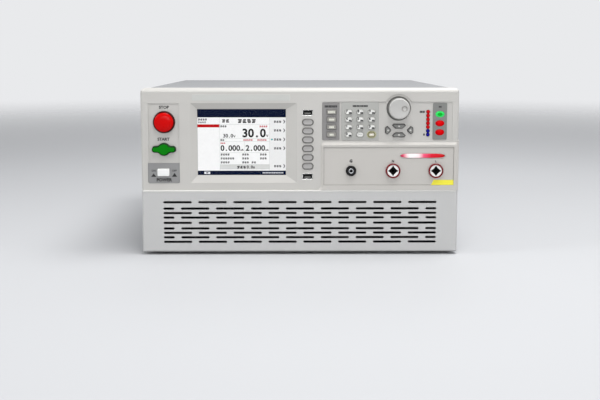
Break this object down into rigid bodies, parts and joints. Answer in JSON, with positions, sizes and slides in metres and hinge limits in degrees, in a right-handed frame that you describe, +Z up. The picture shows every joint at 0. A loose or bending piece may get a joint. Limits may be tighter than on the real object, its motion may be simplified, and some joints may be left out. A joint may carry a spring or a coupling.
{
  "type": "leakage current tester",
  "caption": "Bench leakage current tester: box case, colour screen, sprung keys, control knob, three output sockets and a slotted air intake.",
  "frame": {"origin": "on the floor, under the middle of the outer box", "axes": "front faces -Y, +X to the right seen from the front, +Z up"},
  "size_m": [0.43, 0.474, 0.2273],
  "materials": {
    "cover_paint": "fine textured powder coat",
    "zinc_steel": "black zinc plated",
    "rear_paint": "fine textured powder coat",
    "bezel_plastic": "fine moulded texture",
    "grille_plastic": "fine moulded texture",
    "terminal_plastic": "fine moulded texture",
    "clear_window": "clear, flat",
    "display_frame": "satin",
    "power_plate_grey": "printed film",
    "function_plate_grey": "printed film",
    "number_plate_grey": "printed film",
    "lamp_plate_grey": "printed film",
    "lamp_plastic": "tinted, polished",
    "red_lens": "tinted, polished",
    "black_insulator": "moulded",
    "red_insulator": "moulded",
    "black_port": "moulded",
    "board_laminate": "solder resist",
    "wrapped_core": "wound core under dark polyester tape",
    "bare_aluminium": "extruded",
    "fan_plastic": "moulded",
    "rotor_plastic": "moulded",
    "inlet_plastic": "moulded",
    "plated_steel": "plated",
    "stud_brass": "turned",
    "foot_rubber": "moulded",
    "stop_red": "polished",
    "start_green": "polished",
    "power_white": "moulded",
    "knob_plastic": "satin",
    "soft_key_grey": "moulded silicone",
    "function_key_grey": "moulded silicone",
    "number_key_white": "moulded",
    "enter_key_yellow": "moulded",
    "arrow_key_dark": "moulded"
  },
  "bodies": {
    "root": {"top_cover": "cover_paint", "base_tray": "zinc_steel", "rear_panel": "rear_paint", "front_bezel": "bezel_plastic", "lower_grille": "grille_plastic", "terminal_panel": "terminal_plastic", "screen_window": "clear_window", "display_module": "display_frame", "power_plate": "power_plate_grey", "function_plate": "function_plate_grey", "number_plate": "number_plate_grey", "lamp_plate": "lamp_plate_grey", "indicator_lamps": "lamp_plastic", "warning_lens": "red_lens", "ground_socket": "black_insulator", "neutral_socket": "red_insulator", "live_socket": "red_insulator", "usb_sockets": "black_port", "keypad_board": "board_laminate", "switch_board": "board_laminate", "control_board": "board_laminate", "isolation_transformer": "wrapped_core", "amplifier_heat_sink": "bare_aluminium", "fan_frame": "fan_plastic", "mains_inlet": "inlet_plastic", "interface_socket": "plated_steel", "earth_stud": "stud_brass", "feet": "foot_rubber", "case_screws": "plated_steel"},
    "stop_button": {"stop_button": "stop_red"},
    "start_button": {"start_button": "start_green"},
    "power_button": {"power_button": "power_white"},
    "control_knob": {"control_knob": "knob_plastic"},
    "fan_rotor": {"fan_rotor": "rotor_plastic"},
    "soft_key_1": {"soft_key_1": "soft_key_grey"},
    "soft_key_2": {"soft_key_2": "soft_key_grey"},
    "soft_key_3": {"soft_key_3": "soft_key_grey"},
    "soft_key_4": {"soft_key_4": "soft_key_grey"},
    "soft_key_5": {"soft_key_5": "soft_key_grey"},
    "soft_key_6": {"soft_key_6": "soft_key_grey"},
    "function_key_1": {"function_key_1": "function_key_grey"},
    "function_key_2": {"function_key_2": "function_key_grey"},
    "function_key_3": {"function_key_3": "function_key_grey"},
    "function_key_4": {"function_key_4": "function_key_grey"},
    "number_key_0": {"number_key_0": "number_key_white"},
    "clear_key": {"clear_key": "number_key_white"},
    "enter_key": {"enter_key": "enter_key_yellow"},
    "number_key_1": {"number_key_1": "number_key_white"},
    "number_key_2": {"number_key_2": "number_key_white"},
    "number_key_3": {"number_key_3": "number_key_white"},
    "number_key_4": {"number_key_4": "number_key_white"},
    "number_key_5": {"number_key_5": "number_key_white"},
    "number_key_6": {"number_key_6": "number_key_white"},
    "number_key_7": {"number_key_7": "number_key_white"},
    "number_key_8": {"number_key_8": "number_key_white"},
    "number_key_9": {"number_key_9": "number_key_white"},
    "arrow_key_up": {"arrow_key_up": "arrow_key_dark"},
    "arrow_key_down": {"arrow_key_down": "arrow_key_dark"},
    "arrow_key_left": {"arrow_key_left": "arrow_key_dark"},
    "arrow_key_right": {"arrow_key_right": "arrow_key_dark"}
  },
  "joints": [
    {"name": "stop_button_press", "type": "slide", "parent": "root", "child": "stop_button", "axis": [0, 1, 0], "range_m": [0, 0.003], "stiffness_N_per_m": 600},
    {"name": "start_button_press", "type": "slide", "parent": "root", "child": "start_button", "axis": [0, 1, 0], "range_m": [0, 0.003], "stiffness_N_per_m": 600},
    {"name": "power_button_press", "type": "slide", "parent": "root", "child": "power_button", "axis": [0, 1, 0], "range_m": [0, 0.004]},
    {"name": "control_knob_turn", "type": "hinge", "parent": "root", "child": "control_knob", "pos_m": [0.1329, -0.227, 0.1997], "axis": [0, 1, 0], "continuous": true},
    {"name": "fan_rotor_spin", "type": "hinge", "parent": "root", "child": "fan_rotor", "pos_m": [-0.12, 0.203, 0.0658], "axis": [0, 1, 0], "continuous": true},
    {"name": "soft_key_1_press", "type": "slide", "parent": "root", "child": "soft_key_1", "axis": [0, 1, 0], "range_m": [0, 0.0012], "stiffness_N_per_m": 500},
    {"name": "soft_key_2_press", "type": "slide", "parent": "root", "child": "soft_key_2", "axis": [0, 1, 0], "range_m": [0, 0.0012], "stiffness_N_per_m": 500},
    {"name": "soft_key_3_press", "type": "slide", "parent": "root", "child": "soft_key_3", "axis": [0, 1, 0], "range_m": [0, 0.0012], "stiffness_N_per_m": 500},
    {"name": "soft_key_4_press", "type": "slide", "parent": "root", "child": "soft_key_4", "axis": [0, 1, 0], "range_m": [0, 0.0012], "stiffness_N_per_m": 500},
    {"name": "soft_key_5_press", "type": "slide", "parent": "root", "child": "soft_key_5", "axis": [0, 1, 0], "range_m": [0, 0.0012], "stiffness_N_per_m": 500},
    {"name": "soft_key_6_press", "type": "slide", "parent": "root", "child": "soft_key_6", "axis": [0, 1, 0], "range_m": [0, 0.0012], "stiffness_N_per_m": 500},
    {"name": "function_key_1_press", "type": "slide", "parent": "root", "child": "function_key_1", "axis": [0, 1, 0], "range_m": [0, 0.0012], "stiffness_N_per_m": 500},
    {"name": "function_key_2_press", "type": "slide", "parent": "root", "child": "function_key_2", "axis": [0, 1, 0], "range_m": [0, 0.0012], "stiffness_N_per_m": 500},
    {"name": "function_key_3_press", "type": "slide", "parent": "root", "child": "function_key_3", "axis": [0, 1, 0], "range_m": [0, 0.0012], "stiffness_N_per_m": 500},
    {"name": "function_key_4_press", "type": "slide", "parent": "root", "child": "function_key_4", "axis": [0, 1, 0], "range_m": [0, 0.0012], "stiffness_N_per_m": 500},
    {"name": "number_key_0_press", "type": "slide", "parent": "root", "child": "number_key_0", "axis": [0, 1, 0], "range_m": [0, 0.0012], "stiffness_N_per_m": 500},
    {"name": "clear_key_press", "type": "slide", "parent": "root", "child": "clear_key", "axis": [0, 1, 0], "range_m": [0, 0.0012], "stiffness_N_per_m": 500},
    {"name": "enter_key_press", "type": "slide", "parent": "root", "child": "enter_key", "axis": [0, 1, 0], "range_m": [0, 0.0012], "stiffness_N_per_m": 500},
    {"name": "number_key_1_press", "type": "slide", "parent": "root", "child": "number_key_1", "axis": [0, 1, 0], "range_m": [0, 0.0012], "stiffness_N_per_m": 500},
    {"name": "number_key_2_press", "type": "slide", "parent": "root", "child": "number_key_2", "axis": [0, 1, 0], "range_m": [0, 0.0012], "stiffness_N_per_m": 500},
    {"name": "number_key_3_press", "type": "slide", "parent": "root", "child": "number_key_3", "axis": [0, 1, 0], "range_m": [0, 0.0012], "stiffness_N_per_m": 500},
    {"name": "number_key_4_press", "type": "slide", "parent": "root", "child": "number_key_4", "axis": [0, 1, 0], "range_m": [0, 0.0012], "stiffness_N_per_m": 500},
    {"name": "number_key_5_press", "type": "slide", "parent": "root", "child": "number_key_5", "axis": [0, 1, 0], "range_m": [0, 0.0012], "stiffness_N_per_m": 500},
    {"name": "number_key_6_press", "type": "slide", "parent": "root", "child": "number_key_6", "axis": [0, 1, 0], "range_m": [0, 0.0012], "stiffness_N_per_m": 500},
    {"name": "number_key_7_press", "type": "slide", "parent": "root", "child": "number_key_7", "axis": [0, 1, 0], "range_m": [0, 0.0012], "stiffness_N_per_m": 500},
    {"name": "number_key_8_press", "type": "slide", "parent": "root", "child": "number_key_8", "axis": [0, 1, 0], "range_m": [0, 0.0012], "stiffness_N_per_m": 500},
    {"name": "number_key_9_press", "type": "slide", "parent": "root", "child": "number_key_9", "axis": [0, 1, 0], "range_m": [0, 0.0012], "stiffness_N_per_m": 500},
    {"name": "arrow_key_up_press", "type": "slide", "parent": "root", "child": "arrow_key_up", "axis": [0, 1, 0], "range_m": [0, 0.0012], "stiffness_N_per_m": 500},
    {"name": "arrow_key_down_press", "type": "slide", "parent": "root", "child": "arrow_key_down", "axis": [0, 1, 0], "range_m": [0, 0.0012], "stiffness_N_per_m": 500},
    {"name": "arrow_key_left_press", "type": "slide", "parent": "root", "child": "arrow_key_left", "axis": [0, 1, 0], "range_m": [0, 0.0012], "stiffness_N_per_m": 500},
    {"name": "arrow_key_right_press", "type": "slide", "parent": "root", "child": "arrow_key_right", "axis": [0, 1, 0], "range_m": [0, 0.0012], "stiffness_N_per_m": 500}
  ]
}
